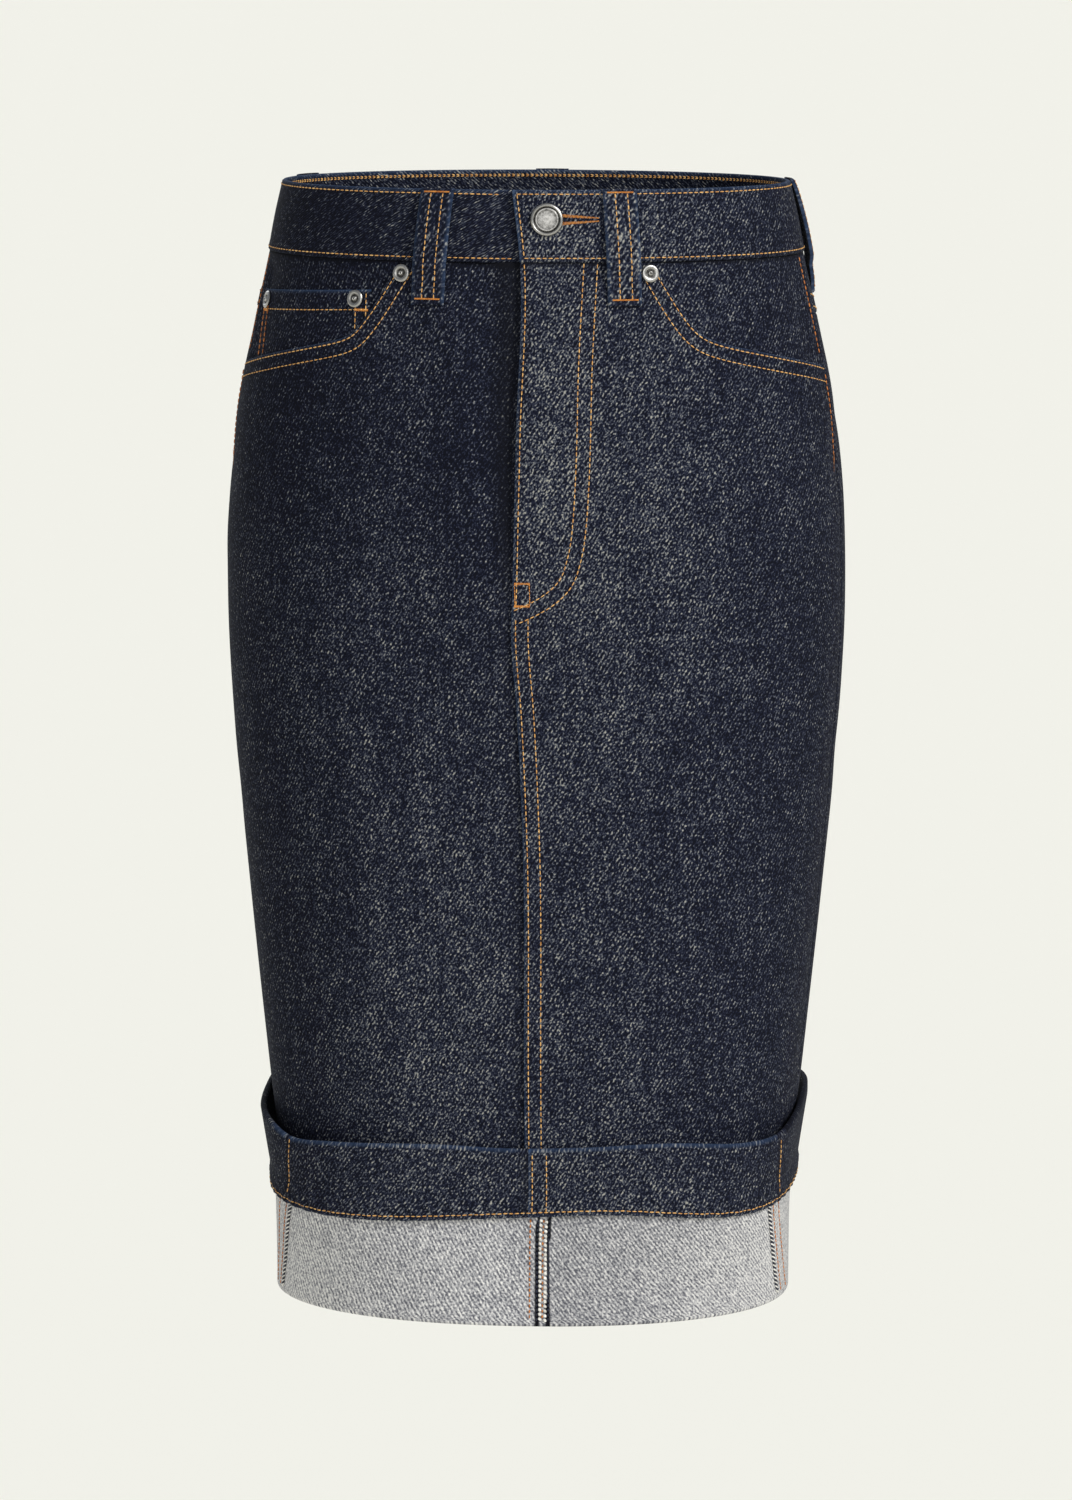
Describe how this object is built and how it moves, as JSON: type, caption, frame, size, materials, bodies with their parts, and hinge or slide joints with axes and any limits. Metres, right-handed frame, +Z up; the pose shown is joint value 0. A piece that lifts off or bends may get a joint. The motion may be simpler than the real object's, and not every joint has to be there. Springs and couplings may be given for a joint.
{
  "type": "denim pencil skirt",
  "caption": "Knee-length denim pencil skirt with a button waistband, belt loops, scooped front pockets, fly front, patch back pockets and a turned-up hem.",
  "frame": {"origin": "centre of the waist opening, level with the top edge of the waistband", "axes": "+Z up towards the waist, -Y towards the front of the skirt, +X towards the wearer's left"},
  "size_m": [0.3372, 0.2455, 0.6106],
  "materials": {
    "denim": "stiff dark indigo twill, matt, with pale flecks",
    "denim_reverse": "the grey wrong side of the same twill, matt",
    "hardware": "aged silver, satin"
  },
  "bodies": {
    "root": {"front_right": "denim", "front_left": "denim", "back_right": "denim", "back_left": "denim", "yoke_right": "denim", "yoke_left": "denim", "pocket_facing_right": "denim", "pocket_facing_left": "denim", "coin_pocket": "denim", "back_pocket_right": "denim", "back_pocket_left": "denim", "waistband": "denim", "belt_loop_front_right": "denim", "belt_loop_front_left": "denim", "belt_loop_side_right": "denim", "belt_loop_side_left": "denim", "belt_loop_back": "denim", "hem_band_front_left": "denim", "hem_band_back_left": "denim", "hem_band_back_right": "denim", "hem_band_front_right": "denim", "turn_up_front_left": "denim_reverse", "turn_up_back_left": "denim_reverse", "turn_up_back_right": "denim_reverse", "turn_up_front_right": "denim_reverse", "button": "hardware", "rivet_pocket_right": "hardware", "rivet_pocket_left": "hardware", "rivet_coin_inner": "hardware", "rivet_coin_outer": "hardware"}
  },
  "joints": []
}
